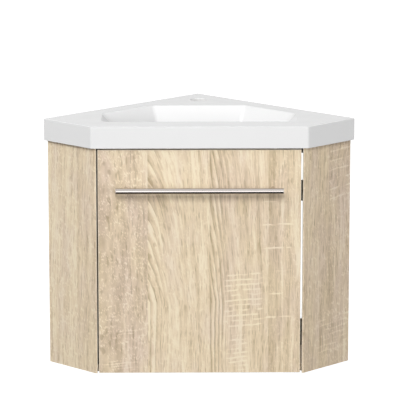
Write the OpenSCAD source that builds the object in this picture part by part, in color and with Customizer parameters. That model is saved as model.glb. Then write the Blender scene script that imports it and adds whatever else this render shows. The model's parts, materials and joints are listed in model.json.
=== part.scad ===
// Corner vanity unit: a cast basin on a wall-hung corner cupboard with one inset door.
// Millimetres. +Z is up, +X is to the viewer's right and +Y points into the room's corner.
// The origin lies in the plane of the underside, below the middle of the width and the depth.
// Inside the modules, y is measured from the basin's front face until unit_frame() moves it.

/* [Basin] */
// Length of the basin along each wall
wall_side = 485; // [470:1:540]
// Length of the short sides, which stand square to the walls
short_side = 152; // [140:1:165]
// Height of the basin's visible edge
basin_h = 48; // [36:1:64]
// Thickness of the deck around the bowl
deck_t = 14; // [10:1:20]
// How far the skirt reaches in past the inner faces of the boards that it stands on
skirt_lap = 1; // [0:0.5:3]
// Radius of the basin's upright corners
plate_r = 3; // [2.5:0.5:6]
// Chamfer along the basin's top edge
plate_chamfer = 2; // [1:0.5:2]

/* [Bowl] */
// Width of the bowl's mouth
bowl_w = 430; // [400:1:450]
// Length of the bowl's mouth, front to back
bowl_l = 217; // [200:1:235]
// Width of the deck in front of the bowl
bowl_front = 66; // [55:1:75]
// Width of the deck between the bowl's slanting sides and the walls
bowl_margin = 45.5; // [42:0.5:60]
// Depth of the bowl
bowl_depth = 110; // [90:1:130]
// Thickness of the bowl's wall
bowl_t = 12; // [8:1:14]
// Slope of the bowl's walls from upright, in degrees
bowl_draft = 28; // [10:1:28]
// How many times farther than the other walls the bowl's ends slope in
bowl_end_ease = 1.7; // [1:0.05:1.7]
// Radius between the bowl's walls and its floor
bowl_fillet = 25; // [15:1:35]
// Radius of the bowl's front corners
bowl_front_r = 15; // [8:1:25]
// Radius of the bowl's side corners
bowl_side_r = 25; // [10:1:35]
// Radius of the bowl's back corners
bowl_back_r = 8; // [4:1:15]
// Fall of the bowl's floor towards the waste
bowl_fall = 3; // [1:0.5:6]
// Diameter of the waste hole
waste_d = 46; // [40:1:52]
// Diameter of the tap hole
tap_d = 35; // [30:1:38]
// Distance from the basin's rear corner to the middle of the tap hole
tap_inset = 88; // [80:1:110]

/* [Cupboard] */
// Height of the cupboard
carcass_h = 504; // [420:1:640]
// Thickness of the boards
board_t = 16; // [15:0.5:19]
// Space between the cupboard and each wall
wall_gap = 4; // [2:0.5:8]
// How far the basin stands out over the side panels
side_overhang = 9; // [5:0.5:12]
// How far the basin stands out over the door
front_overhang = 6; // [3:0.5:10]
// Width of the side panels' flat front edge
nose_w = 4; // [3:0.5:6]
// Height of the upper back rails
top_rail_h = 45; // [42:1:60]
// Height of the lower back rails
bottom_rail_h = 40; // [38:1:60]
// Distance from the door's back to the floor panel's front edge
floor_setback = 3.6; // [2:0.2:6]
// Thickness of the edge bands
band_t = 1; // [0.4:0.2:2]

/* [Door] */
// Thickness of the door
door_t = 16; // [16:0.5:19]
// Gap along the door's free edge
gap_free = 3; // [2:0.5:5]
// Gap along the door's hinged edge
gap_hinge = 4; // [4:0.5:6]
// Gap between the door and the basin
gap_top = 4; // [3:0.5:6]
// Height of the door's lower edge above the cupboard's underside
gap_foot = 1; // [1:0.5:4]
// Largest opening angle of the door, in degrees
door_open = 95; // [85:1:100]
// Distance from the inside of the door to the stop strip
stop_space = 3; // [2:0.5:5]
// Width of the stop strip's face behind the door
stop_w = 20; // [16:1:26]
// Diameter of the door bumpers
bumper_d = 10; // [6:1:12]

/* [Handle] */
// Diameter of the handle's bar
bar_d = 13; // [10:0.5:14]
// Length of the handle's bar
bar_l = 364; // [340:1:400]
// Distance from the door's face to the bar's centre line
bar_reach = 31.5; // [26:0.5:40]
// Distance from the door's top edge to the bar's centre line
bar_drop = 85; // [70:0.5:100]
// Distance between the two posts
post_span = 320; // [256:32:320]
// Diameter of the posts
post_d = 9; // [8:0.5:10]

/* [Hinges] */
// Distance from the door's ends to the middle of the hinges
hinge_end = 94; // [80:1:120]
// Diameter of the hinge cup
cup_d = 35; // [34:1:36]
// Depth of the hinge cup
cup_depth = 11.5; // [11:0.1:12]
// Distance from the door's hinged edge to the middle of the cup
cup_inset = 22; // [20.5:0.5:24]
// Depth of the cup's pivot below the door's back
pivot_depth = 4.5; // [4:0.1:5]
// Length of the link that turns in the cup
cup_link_l = 36; // [34:0.5:40]
// Diameter of the hinge's pivot pins
pivot_d = 3.5; // [3:0.1:4]
// Height of the mounting plate's wings
plate_h = 46; // [42:1:50]
// Thickness of the mounting plate's wings
wing_t = 5.5; // [4:0.1:6]

/* [Fixings] */
// Diameter of the wooden dowels
dowel_d = 8; // [6:0.5:9]
// Length of the wooden dowels
dowel_l = 30; // [25:1:35]
// Diameter of the cam locks
cam_d = 15; // [12:0.5:16]
// Distance from a board's end to the middle of its cam lock
cam_inset = 24; // [20:1:34]
// Diameter of the cam locks' bolts
bolt_d = 7; // [5:0.5:7.5]
// Diameter of the holes for the screws into the wall
wall_hole_d = 8; // [6:0.5:12]

/* [Hidden] */
$fn = 48;
s2 = sqrt(2);
over = 1;            // how far a cut runs past the face that it opens
fit = 0.05;          // radial clearance of pins, dowels and screws in their holes
hull_fn = 32;        // segments of the rounded corners that are hulled

// Colours
white = "#ececec";
oak = "#d3c4a6";
raw_board = "#b89f7c";
band = "#e6dbc0";
steel = "#c9c6c4";
nickel = "#8d8a86";
dark_rubber = "#3a3a3a";
beech = "#d9b98a";

// Plan of the basin. Its walls lie on |x| + y = wall_line, its short sides on |x| - y = side_line.
half_w = wall_side / s2;
side_y = short_side / s2;
side_line = half_w - side_y;
wall_line = half_w + side_y;
top_z = carcass_h + basin_h;
skirt_w = side_overhang + board_t + skirt_lap;

// Plan of the bowl's mouth
bowl_back = bowl_front + bowl_l;
bowl_diag = wall_line - bowl_margin * s2;
mouth_r = [bowl_front_r, bowl_side_r, bowl_back_r];
waste_y = bowl_front + bowl_l / 2;
tap_y = wall_line - tap_inset;
waste_land = 8;      // width of the flat ring round the waste hole

// Bowl wall: a sloping side, then an arc down to the floor
fillet_steps = 4;
arc_depth = bowl_depth - bowl_fillet;
arc_inset = bowl_fillet * cos(bowl_draft)
    + (arc_depth + bowl_fillet * sin(bowl_draft)) * tan(bowl_draft);

// Plan of the cupboard
front_y = front_overhang;
panel_out = side_line - side_overhang * s2;
panel_in = panel_out - board_t * s2;
carcass_line = wall_line - wall_gap * s2;
jamb_x = panel_out + front_y - nose_w;
corner_y = jamb_x - panel_in;
panel_l = (carcass_line - jamb_x - corner_y) / s2;
rail_run = (carcass_line + jamb_x - corner_y) / s2;
rail_t0 = panel_l - board_t;
top_rail_z = carcass_h - top_rail_h;

// Door and handle
door_left = -jamb_x + gap_free;
door_right = jamb_x - gap_hinge;
door_mid = (door_left + door_right) / 2;
door_foot = gap_foot;
door_top = carcass_h - gap_top;
door_back = front_y + door_t;
floor_front = door_back + floor_setback;
bar_y = front_y - bar_reach;
bar_z = door_top - bar_drop;
bar_edge = 0.6;      // chamfer at the bar's ends
post_xs = [door_mid - post_span / 2, door_mid + post_span / 2];
spigot_d = 5;        // the post's end that sits in the bar
spigot_l = 4;
spigot_root = 2;     // how far it reaches back into the post
screw_d = 4;         // machine screws of the handle
screw_head_d = 8;
screw_head_t = 2.4;
screw_bite = 9;      // length of thread in the post

// The unit is centred on the depth from the handle's front to the basin's rounded rear corner
unit_front = bar_y - bar_d / 2;
unit_back = wall_line - plate_r * (s2 - 1);
mid_y = (unit_front + unit_back) / 2;

// Stop strip and its bumpers, inside the left side panel
stop_y = door_back + stop_space;
stop_t = board_t;
stop_foot = board_t;
bumper_gap = 0.3;    // space between the closed door and the bumpers
bumper_end = 60;     // distance of the bumpers from the door's ends
bumper_t = stop_space - bumper_gap;
bumper_x = -jamb_x + stop_w / 2;
bumper_zs = [door_foot + bumper_end, door_top - bumper_end];
stop_screw_end = 50; // distance of the outer screws from the strip's ends
stop_screw_zs = [stop_foot + stop_screw_end, (stop_foot + carcass_h) / 2, carcass_h - stop_screw_end];

// Wood screws
wood_d = 3.5;
wood_head_d = 7;
wood_head_t = 2;
stop_screw_l = 20;
bracket_screw_l = 13;
plate_screw_l = 15;
cup_screw_l = 12;

// Joints of the boards, seen on a side panel's inner face as [distance from its front, height]
board_mid = board_t / 2;
rail_mid = panel_l - board_mid;
floor_dowel_end = 30; // distance of the floor panel's dowels from the side panel's ends
rail_dowel_edge = 10; // distance of the rails' dowels from their upper edges
rail_cam_edge = 12;  // distance of the rails' cam locks from their lower edges
floor_dowels = [[floor_dowel_end, board_mid], [panel_l - floor_dowel_end, board_mid]];
rail_dowels = [[rail_mid, carcass_h - rail_dowel_edge],
               [rail_mid, board_t + bottom_rail_h - rail_dowel_edge]];
floor_cam = [panel_l / 2, board_mid];
rail_cams = [[rail_mid, top_rail_z + rail_cam_edge], [rail_mid, board_t + rail_cam_edge]];
cam_t = 12.5;        // thickness of a cam lock
cam_slot_l = 10;
cam_slot_w = 1.6;
cam_slot_t = 2;
bolt_end_gap = 1;    // distance of a bolt's end from its cam lock's axis
dowel_in = 10;       // depth of the dowels and bolts in the side panels
wall_hole_outer = 90; // distance of the outer wall screws from the side panels
wall_hole_inner = 150; // distance of the inner wall screws from the room's corner
wall_hole_ns = [wall_hole_outer, rail_run - wall_hole_inner];

// Bracket in the corner where the back rails meet
bracket_leg = 30;
bracket_t = 2;
bracket_w = 18;
bracket_hole = 20;   // distance of the screw from the corner
bracket_zs = [board_t + bottom_rail_h / 2, top_rail_z + top_rail_h / 2];

// Hinge linkage. The door turns about swing; the arm link turns about arm_pivot beside it, and
// the cup link joins cup_pivot to the arm link's end, so the four points keep a parallelogram.
swing = [jamb_x - gap_hinge / 2, front_y];
cup_x = door_right - cup_inset;
cup_pivot = [cup_x, door_back - pivot_depth];
link_angle = 90 + door_open / 2;
arm_pivot = swing + cup_link_l * [cos(link_angle), sin(link_angle)];
link_joint = arm_pivot + cup_pivot - swing;
hinge_zs = [door_foot + hinge_end, door_top - hinge_end];
pivot_r = pivot_d / 2;
eye_r = pivot_r + 2.5;
cup_eye_r = pivot_r + 2;
link_gap = 0.3;      // space between the hinge's moving layers
link_t = 2;
cup_link_w = 8;
cup_link_bar = 4.5;
arm_link_bar = 6;
web_t = 1.5;         // web that joins the arm link's two side plates
web_lap = 0.5;       // how far it runs into them
web_start = eye_r + 1.8;
arm_link_in = cup_link_w / 2 + link_gap;
arm_link_out = arm_link_in + link_t;
fork_in = arm_link_out + link_gap;
fork_out = fork_in + link_t;
fork_r = eye_r + 2;
joint_play = 0.3;    // radial clearance at the linkage's open pivot

// Hinge cup
cup_wall = 1.9;
cup_floor = 1;
cup_hole_t = cup_depth + 0.3; // depth of the cup's hole in the door
cup_pin_l = cup_d - cup_wall;
cup_pin_gap = 0.3;   // space at each end of the cup's pin
flange_t = 1.5;
flange_r = cup_d / 2 + 2;
ear_r = 7;
ear_shift = 6;       // distance of the cup's screws behind its middle
ear_x = cup_x - ear_shift;
ear_span = 48;

// Mounting plate and hinge arm, on the right side panel: distances from its front and its face
plate_front = 0.3;
wing_l = 18;
wing_hole_end = 7;   // distance of the wings' screws from their ends
wing_hole_t = plate_front + wing_l / 2;
wing_hole_z = plate_h / 2 - wing_hole_end;
plate_l = 52;
ridge_w = 12.6;
ridge_rise = 3.5;    // height of the plate's middle over its wings
ridge_t = wing_t + ridge_rise;
arm_front = 4;
arm_back = 50;
arm_t = 9;
arm_foot = wing_t + link_gap;
arm_top = arm_foot + arm_t;
neck_w = 2 * eye_r - 1;
neck_end = 8;        // where the neck meets the arm's body
arm_screw_ts = [24, 42];
arm_screw_l = 10;

// ---- Shared pieces ----

module unit_frame() {
    translate([0, -mid_y, 0]) children();
}

// Frame of the right side panel: x runs back along its inner face, y points into the cupboard
module side_frame() {
    translate([jamb_x, corner_y, 0]) rotate(45) children();
}

module both_sides() {
    children();
    mirror([1, 0, 0]) children();
}

// A cylinder along +y
module rod_y(d, l) {
    rotate([-90, 0, 0]) cylinder(d = d, h = l);
}

// A cylinder along +x
module rod_x(d, l) {
    rotate([0, 90, 0]) cylinder(d = d, h = l);
}

// A flat bar from p to q, centred on z = 0
module flat_bar(p, q, w, h) {
    run = q - p;
    translate([p.x, p.y, 0]) rotate(atan2(run.y, run.x)) translate([0, -w / 2, -h / 2])
        cube([norm(run), w, h]);
}

// An upright disc or hole at p, centred on z = 0; its seam lies at the angle seam
module disc(p, r, h, seam = 0) {
    translate([p.x, p.y, 0]) rotate(seam) cylinder(r = r, h = h, center = true);
}

// A countersunk wood screw along +y, its head's face at y = 0
module wood_screw(l) {
    rotate([-90, 0, 0]) {
        cylinder(d1 = wood_head_d, d2 = wood_d, h = wood_head_t);
        cylinder(d = wood_d, h = l);
    }
}

// Its hole; sink is how far the head's hole runs out past the head
module wood_screw_hole(l, sink = over) {
    head_d = wood_head_d + 2 * fit;
    hole_d = wood_d + 2 * fit;
    rotate([-90, 0, 0]) {
        cylinder(d1 = head_d, d2 = hole_d, h = wood_head_t);
        cylinder(d = hole_d, h = l + fit);
        translate([0, 0, -sink]) cylinder(d = head_d, h = sink);
    }
}

// ---- Basin ----

function plate_corners(i) = [
    [side_line - i * s2 + i, i],
    [half_w - i * s2, side_y],
    [0, wall_line - i * s2],
    [-half_w + i * s2, side_y],
    [-side_line + i * s2 - i, i]
];

// Right-hand corners of the bowl's mouth, drawn in by i, and by e at the ends: front, side and back
function mouth_corners(i, e) = [
    [bowl_w / 2 - e, bowl_front + i],
    [bowl_w / 2 - e, bowl_diag - i * s2 - bowl_w / 2 + e],
    [bowl_diag - i * s2 - bowl_back + i, bowl_back - i]
];

// [depth, inset] down the bowl's wall
function bowl_levels() = concat([[0, 0]], [
    for (k = [0:fillet_steps])
        let (a = bowl_draft + (90 - bowl_draft) * k / fillet_steps)
        [arc_depth + bowl_fillet * sin(a), arc_inset - bowl_fillet * cos(a)]
]);

module plate_block() {
    hull() for (p = plate_corners(plate_r)) translate([p.x, p.y, carcass_h]) {
        cylinder(r = plate_r, h = basin_h - plate_chamfer, $fn = hull_fn);
        cylinder(r = plate_r - plate_chamfer, h = basin_h, $fn = hull_fn);
    }
}

// The bowl's inside, or with grow its outside; lift moves the mouth's level up or down
module bowl_form(grow, lift) {
    slice = 0.2;
    hull() {
        for (level = bowl_levels(), k = [0:2], side = [-1, 1]) {
            end_inset = level[1] * bowl_end_ease + mouth_r[k];
            centre = mouth_corners(level[1] + mouth_r[k], end_inset)[k];
            down = level[0] > 0 ? level[0] + grow : -lift;
            translate([side * centre.x, centre.y, top_z - down])
                cylinder(r = mouth_r[k] + grow, h = slice, $fn = hull_fn);
        }
        translate([0, waste_y, top_z - bowl_depth - bowl_fall - grow])
            cylinder(r = waste_d / 2 + waste_land, h = slice, $fn = hull_fn);
    }
}

module basin() {
    color(white) unit_frame() difference() {
        union() {
            difference() {
                plate_block();
                translate([0, 0, carcass_h - over])
                    linear_extrude(basin_h - deck_t + over) polygon(plate_corners(skirt_w));
            }
            bowl_form(bowl_t, -deck_t / 2);
        }
        bowl_form(0, over);
        translate([0, tap_y, top_z - deck_t - over]) cylinder(d = tap_d, h = deck_t + 2 * over);
        translate([0, waste_y, top_z - bowl_depth - bowl_fall - bowl_t - over])
            cylinder(d = waste_d, h = bowl_t + bowl_fall + 2 * over);
    }
}

// ---- Cupboard ----

// Dowel holes and bolt holes of the floor and rail joints, in a side panel and its neighbours
module joint_holes() {
    dowel_hole_d = dowel_d + 2 * fit;
    bolt_hole_d = bolt_d + 2 * fit;
    side_frame() {
        for (p = concat(floor_dowels, rail_dowels))
            translate([p.x, -dowel_in - fit, p.y]) rod_y(dowel_hole_d, dowel_l + 2 * fit);
        for (p = concat([floor_cam], rail_cams))
            translate([p.x, -dowel_in - fit, p.y]) rod_y(bolt_hole_d, dowel_in + cam_inset);
    }
}

// Pockets of the cam locks: under the floor panel and in the rails' inner faces
module cam_pockets() {
    pocket_d = cam_d + 2 * fit;
    side_frame() {
        translate([floor_cam.x, cam_inset, -over]) cylinder(d = pocket_d, h = cam_t + fit + over);
        for (p = rail_cams)
            translate([rail_t0 - over, cam_inset, p.y]) rod_x(pocket_d, cam_t + fit + over);
    }
}

module side_panel_blank() {
    edge_x = jamb_x + band_t;
    linear_extrude(carcass_h) polygon([
        [edge_x, front_y],
        [jamb_x + nose_w, front_y],
        [(carcass_line + panel_out) / 2, (carcass_line - panel_out) / 2],
        [(carcass_line + panel_in) / 2, (carcass_line - panel_in) / 2],
        [edge_x, corner_y + band_t]
    ]);
}

module side_panel_left() {
    color(oak) unit_frame() mirror([1, 0, 0]) difference() {
        side_panel_blank();
        joint_holes();
        mirror([1, 0, 0]) stop_screw_places() wood_screw_hole(stop_screw_l);
    }
}

module side_panel_right() {
    color(oak) unit_frame() difference() {
        side_panel_blank();
        joint_holes();
        for (z = hinge_zs) plate_screw_places(z) wood_screw_hole(plate_screw_l);
    }
}

module panel_edge_bands() {
    color(band) unit_frame() both_sides() linear_extrude(carcass_h) polygon([
        [jamb_x, front_y],
        [jamb_x + band_t, front_y],
        [jamb_x + band_t, corner_y + band_t],
        [jamb_x, corner_y]
    ]);
}

module floor_panel() {
    side_x = floor_front + panel_in;
    color(oak) unit_frame() difference() {
        linear_extrude(board_t) polygon([
            [side_x, floor_front],
            [(carcass_line + panel_in) / 2, (carcass_line - panel_in) / 2],
            [0, carcass_line],
            [-(carcass_line + panel_in) / 2, (carcass_line - panel_in) / 2],
            [-side_x, floor_front]
        ]);
        both_sides() {
            joint_holes();
            cam_pockets();
        }
    }
}

// A back rail on the right, from the side panel towards the room's corner
module rail(z, h, l) {
    difference() {
        side_frame() translate([rail_t0, 0, z]) cube([board_t, l, h]);
        joint_holes();
        cam_pockets();
    }
}

module wall_holes() {
    side_frame() for (n = wall_hole_ns)
        translate([rail_t0 - over, n, top_rail_z + top_rail_h / 2])
            rod_x(wall_hole_d, board_t + 2 * over);
}

module top_rail_left() {
    color(raw_board) unit_frame() difference() {
        mirror([1, 0, 0]) difference() {
            rail(top_rail_z, top_rail_h, rail_run - board_t);
            wall_holes();
        }
        bracket_screw_places(bracket_zs[1]) wood_screw_hole(bracket_screw_l);
    }
}

module top_rail_right() {
    color(raw_board) unit_frame() difference() {
        rail(top_rail_z, top_rail_h, rail_run);
        wall_holes();
        bracket_screw_places(bracket_zs[1]) wood_screw_hole(bracket_screw_l);
    }
}

module bottom_rail_left() {
    color(raw_board) unit_frame() difference() {
        mirror([1, 0, 0]) rail(board_t, bottom_rail_h, rail_run - board_t);
        bracket_screw_places(bracket_zs[0]) wood_screw_hole(bracket_screw_l);
    }
}

module bottom_rail_right() {
    color(raw_board) unit_frame() difference() {
        rail(board_t, bottom_rail_h, rail_run);
        bracket_screw_places(bracket_zs[0]) wood_screw_hole(bracket_screw_l);
    }
}

// ---- Stop strip ----

// Screws go through the strip into the side panel, square to the panel's inner face
module stop_screw_places() {
    mirror([1, 0, 0]) side_frame() for (z = stop_screw_zs)
        translate([stop_t / 2, stop_t / 2, z]) rotate(180) children();
}

module stop_strip() {
    color(raw_board) unit_frame() difference() {
        translate([0, 0, stop_foot]) linear_extrude(carcass_h - stop_foot) polygon([
            [-panel_in - stop_y, stop_y],
            [-jamb_x + stop_w, stop_y],
            [-jamb_x + stop_w, stop_y + stop_t],
            [-panel_in - stop_y - stop_t, stop_y + stop_t]
        ]);
        stop_screw_places() wood_screw_hole(stop_screw_l, sink = stop_t);
    }
}

module stop_strip_screws() {
    color(nickel) unit_frame() stop_screw_places() wood_screw(stop_screw_l);
}

module door_bumpers() {
    color(dark_rubber) unit_frame() for (z = bumper_zs)
        translate([bumper_x, stop_y - bumper_t, z]) rod_y(bumper_d, bumper_t);
}

// ---- Fixings of the cupboard ----

// Corner of the rails' inner faces, with x and y along the two rails towards the front
module rail_corner(z) {
    side_frame() translate([rail_t0, rail_run - board_t, z]) rotate(180) children();
}

module bracket_screw_places(z) {
    rail_corner(z) {
        translate([bracket_t, bracket_hole, 0]) rotate(90) children();
        translate([bracket_hole, bracket_t, 0]) rotate(180) children();
    }
}

module corner_brackets() {
    color(steel) unit_frame() for (z = bracket_zs) difference() {
        rail_corner(z) translate([0, 0, -bracket_w / 2]) {
            cube([bracket_t, bracket_leg, bracket_w]);
            cube([bracket_leg, bracket_t, bracket_w]);
        }
        bracket_screw_places(z) wood_screw_hole(bracket_screw_l);
    }
}

module bracket_screws() {
    color(nickel) unit_frame() for (z = bracket_zs)
        bracket_screw_places(z) wood_screw(bracket_screw_l);
}

module dowels() {
    color(beech) unit_frame() both_sides() side_frame()
        for (p = concat(floor_dowels, rail_dowels))
            translate([p.x, -dowel_in, p.y]) rod_y(dowel_d, dowel_l);
}

// A cam lock with its axis along +z, its driver slot at z = 0 and its bolt hole towards -y
module cam(bolt_z) {
    difference() {
        cylinder(d = cam_d, h = cam_t);
        translate([0, -cam_d, bolt_z]) rod_y(bolt_d + 2 * fit, cam_d);
        translate([-cam_slot_l / 2, -cam_slot_w / 2, -over])
            cube([cam_slot_l, cam_slot_w, cam_slot_t + over]);
    }
}

module cam_locks() {
    color(nickel) unit_frame() both_sides() side_frame() {
        translate([floor_cam.x, cam_inset, 0]) cam(floor_cam.y);
        for (p = rail_cams) translate([rail_t0, cam_inset, p.y]) rotate([0, 90, 0])
            cam(board_mid);
    }
}

module cam_bolts() {
    color(steel) unit_frame() both_sides() side_frame() for (p = concat([floor_cam], rail_cams))
        translate([p.x, -dowel_in, p.y]) rod_y(bolt_d, dowel_in + cam_inset - bolt_end_gap);
}

// ---- Door ----

module door_panel() {
    color(oak) unit_frame() difference() {
        translate([door_left + band_t, front_y, door_foot + band_t])
            cube([door_right - door_left - 2 * band_t, door_t, door_top - door_foot - 2 * band_t]);
        for (z = hinge_zs) {
            translate([cup_x, door_back - cup_hole_t, z]) rod_y(cup_d, cup_hole_t + over);
            cup_screw_places(z) wood_screw_hole(cup_screw_l);
        }
        for (x = post_xs) translate([x, front_y - over, bar_z])
            rod_y(screw_d + 2 * fit, door_t + 2 * over);
    }
}

module door_edge_bands() {
    upright_h = door_top - door_foot;
    cross_inset = band_t + fit;
    color(band) unit_frame() {
        for (x = [door_left, door_right - band_t])
            translate([x, front_y, door_foot]) cube([band_t, door_t, upright_h]);
        for (z = [door_foot, door_top - band_t])
            translate([door_left + cross_inset, front_y, z])
                cube([door_right - door_left - 2 * cross_inset, door_t, band_t]);
    }
}

module handle_bar() {
    color(steel) unit_frame() difference() {
        translate([door_mid - bar_l / 2, bar_y, bar_z]) rotate([0, 90, 0]) {
            cylinder(d1 = bar_d - 2 * bar_edge, d2 = bar_d, h = bar_edge);
            translate([0, 0, bar_edge]) cylinder(d = bar_d, h = bar_l - 2 * bar_edge);
            translate([0, 0, bar_l - bar_edge])
                cylinder(d1 = bar_d, d2 = bar_d - 2 * bar_edge, h = bar_edge);
        }
        for (x = post_xs) translate([x, bar_y + bar_d / 2 - spigot_l - fit, bar_z])
            rod_y(spigot_d + 2 * fit, spigot_l + over);
    }
}

module handle_posts() {
    spigot_y = bar_y + bar_d / 2 - spigot_l;
    color(steel) unit_frame() for (x = post_xs) difference() {
        union() {
            difference() {
                translate([x, bar_y, bar_z]) rod_y(post_d, bar_reach);
                translate([x - post_d, bar_y, bar_z]) rod_x(bar_d + 2 * fit, 2 * post_d);
            }
            translate([x, spigot_y, bar_z]) rod_y(spigot_d, spigot_l + spigot_root);
        }
        translate([x, front_y - screw_bite - fit, bar_z])
            rod_y(screw_d + 2 * fit, screw_bite + over);
    }
}

module handle_screws() {
    color(nickel) unit_frame() for (x = post_xs) {
        translate([x, front_y - screw_bite, bar_z]) rod_y(screw_d, screw_bite + door_t);
        translate([x, door_back, bar_z]) rod_y(screw_head_d, screw_head_t);
    }
}

// ---- Hinges ----

module plate_screw_places(z) {
    for (side = [-1, 1])
        side_frame() translate([wing_hole_t, wing_t, z + side * wing_hole_z])
            rotate(180) children();
}

module cup_screw_places(z) {
    for (side = [-1, 1])
        translate([ear_x, door_back + flange_t, z + side * ear_span / 2]) rotate(180) children();
}

module hinge_plate(z) {
    color(nickel) unit_frame() difference() {
        side_frame() translate([plate_front, 0, z]) {
            translate([0, 0, -plate_h / 2]) cube([wing_l, wing_t, plate_h]);
            translate([neck_end, 0, -ridge_w / 2])
                cube([plate_l - plate_front - neck_end, ridge_t, ridge_w]);
        }
        plate_screw_places(z) wood_screw_hole(plate_screw_l);
        arm_screw_places(z) rod_y(screw_d + 2 * fit, arm_screw_l + fit);
    }
}

module hinge_plate_upper() {
    hinge_plate(hinge_zs[1]);
}

module hinge_plate_lower() {
    hinge_plate(hinge_zs[0]);
}

module hinge_plate_screws() {
    color(steel) unit_frame() for (z = hinge_zs) plate_screw_places(z) wood_screw(plate_screw_l);
}

// Screws of the hinge arm, pointing from its top into the mounting plate
module arm_screw_places(z) {
    side_frame() for (t = arm_screw_ts)
        translate([t, arm_top, z]) rotate(180) children();
}

module hinge_arm(z) {
    neck_stop = [neck_end, (arm_foot + arm_top) / 2];
    neck_target = [jamb_x + (neck_stop.x - neck_stop.y) / s2,
                   corner_y + (neck_stop.x + neck_stop.y) / s2];
    pocket_w = ridge_w + 2 * link_gap;
    color(nickel) unit_frame() difference() {
        union() {
            translate([0, 0, z]) {
                disc(arm_pivot, eye_r, 2 * fork_out, seam = 180);
                flat_bar(arm_pivot, neck_target, neck_w, 2 * fork_out);
            }
            side_frame() translate([arm_front, arm_foot, z - fork_out])
                cube([arm_back - arm_front, arm_top - arm_foot, 2 * fork_out]);
        }
        translate([0, 0, z]) {
            disc(arm_pivot, fork_r, 2 * fork_in);
            disc(arm_pivot, pivot_r + fit, 2 * fork_out + 2 * over);
        }
        side_frame() translate([neck_end, arm_foot - over, z - pocket_w / 2])
            cube([arm_back, ridge_t + link_gap - arm_foot + over, pocket_w]);
        arm_screw_places(z) translate([0, -over, 0]) rod_y(screw_d + 2 * fit, arm_top + over);
    }
}

module hinge_arm_upper() {
    hinge_arm(hinge_zs[1]);
}

module hinge_arm_lower() {
    hinge_arm(hinge_zs[0]);
}

module hinge_arm_screws() {
    color(steel) unit_frame() for (z = hinge_zs) arm_screw_places(z) {
        rod_y(screw_d, arm_screw_l);
        translate([0, -screw_head_t, 0]) rod_y(screw_head_d, screw_head_t);
    }
}

module arm_pins() {
    color(steel) unit_frame() for (z = hinge_zs) translate([0, 0, z])
        disc(arm_pivot, pivot_r, 2 * fork_out);
}

module hinge_cup(z) {
    inner_r = cup_d / 2 - cup_wall;
    color(nickel) unit_frame() difference() {
        union() {
            translate([cup_x, door_back - cup_depth, z]) rod_y(cup_d - 2 * fit, cup_depth);
            translate([cup_x, door_back, z]) rod_y(2 * flange_r, flange_t);
            translate([ear_x - ear_r, door_back, z - ear_span / 2])
                cube([2 * ear_r, flange_t, ear_span]);
            for (side = [-1, 1])
                translate([ear_x, door_back, z + side * ear_span / 2]) rod_y(2 * ear_r, flange_t);
        }
        translate([cup_x, door_back - cup_depth + cup_floor, z])
            rod_y(2 * inner_r, cup_depth + flange_t);
        translate([0, 0, z]) disc(cup_pivot, pivot_r + fit, cup_pin_l + 2 * cup_pin_gap);
        cup_screw_places(z) wood_screw_hole(cup_screw_l);
    }
}

module hinge_cup_upper() {
    hinge_cup(hinge_zs[1]);
}

module hinge_cup_lower() {
    hinge_cup(hinge_zs[0]);
}

module hinge_cup_screws() {
    color(steel) unit_frame() for (z = hinge_zs) cup_screw_places(z) wood_screw(cup_screw_l);
}

module cup_pins() {
    color(steel) unit_frame() for (z = hinge_zs) translate([0, 0, z])
        disc(cup_pivot, pivot_r, cup_pin_l);
}

// Two side plates with an eye at each end, joined by a web on the side away from the cup link
module arm_link(z) {
    run = link_joint - arm_pivot;
    color(nickel) unit_frame() translate([0, 0, z]) difference() {
        union() {
            difference() {
                union() {
                    disc(arm_pivot, eye_r, 2 * arm_link_out);
                    disc(link_joint, eye_r, 2 * arm_link_out);
                    flat_bar(arm_pivot, link_joint, arm_link_bar, 2 * arm_link_out);
                }
                disc(arm_pivot, 2 * norm(run), 2 * arm_link_in);
            }
            translate([arm_pivot.x, arm_pivot.y, -arm_link_out]) rotate(atan2(run.y, run.x))
                translate([web_start, -arm_link_bar / 2 - web_t, 0])
                    cube([norm(run) - 2 * web_start, web_t + web_lap, 2 * arm_link_out]);
        }
        disc(arm_pivot, pivot_r + fit, 2 * arm_link_out + 2 * over);
        disc(link_joint, pivot_r + fit, 2 * arm_link_out + 2 * over);
    }
}

module arm_link_upper() {
    arm_link(hinge_zs[1]);
}

module arm_link_lower() {
    arm_link(hinge_zs[0]);
}

module link_pins() {
    color(steel) unit_frame() for (z = hinge_zs) translate([0, 0, z])
        disc(link_joint, pivot_r, 2 * arm_link_out);
}

module cup_link(z) {
    color(nickel) unit_frame() translate([0, 0, z]) difference() {
        union() {
            disc(cup_pivot, cup_eye_r, cup_link_w);
            disc(link_joint, eye_r, cup_link_w);
            flat_bar(cup_pivot, link_joint, cup_link_bar, cup_link_w);
        }
        disc(cup_pivot, pivot_r + fit, cup_link_w + 2 * over);
        disc(link_joint, pivot_r + joint_play, cup_link_w + 2 * over);
    }
}

module cup_link_upper() {
    cup_link(hinge_zs[1]);
}

module cup_link_lower() {
    cup_link(hinge_zs[0]);
}

basin();
side_panel_left();
side_panel_right();
floor_panel();
top_rail_left();
top_rail_right();
bottom_rail_left();
bottom_rail_right();
panel_edge_bands();
stop_strip();
stop_strip_screws();
door_bumpers();
corner_brackets();
bracket_screws();
dowels();
cam_locks();
cam_bolts();
hinge_plate_upper();
hinge_plate_lower();
hinge_plate_screws();
hinge_arm_upper();
hinge_arm_lower();
hinge_arm_screws();
arm_pins();
door_panel();
door_edge_bands();
handle_bar();
handle_posts();
handle_screws();
hinge_cup_upper();
hinge_cup_lower();
hinge_cup_screws();
cup_pins();
arm_link_upper();
arm_link_lower();
link_pins();
cup_link_upper();
cup_link_lower();
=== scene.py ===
import json
import math
import typing

import bmesh
import bpy
from mathutils import Matrix, Vector


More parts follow.
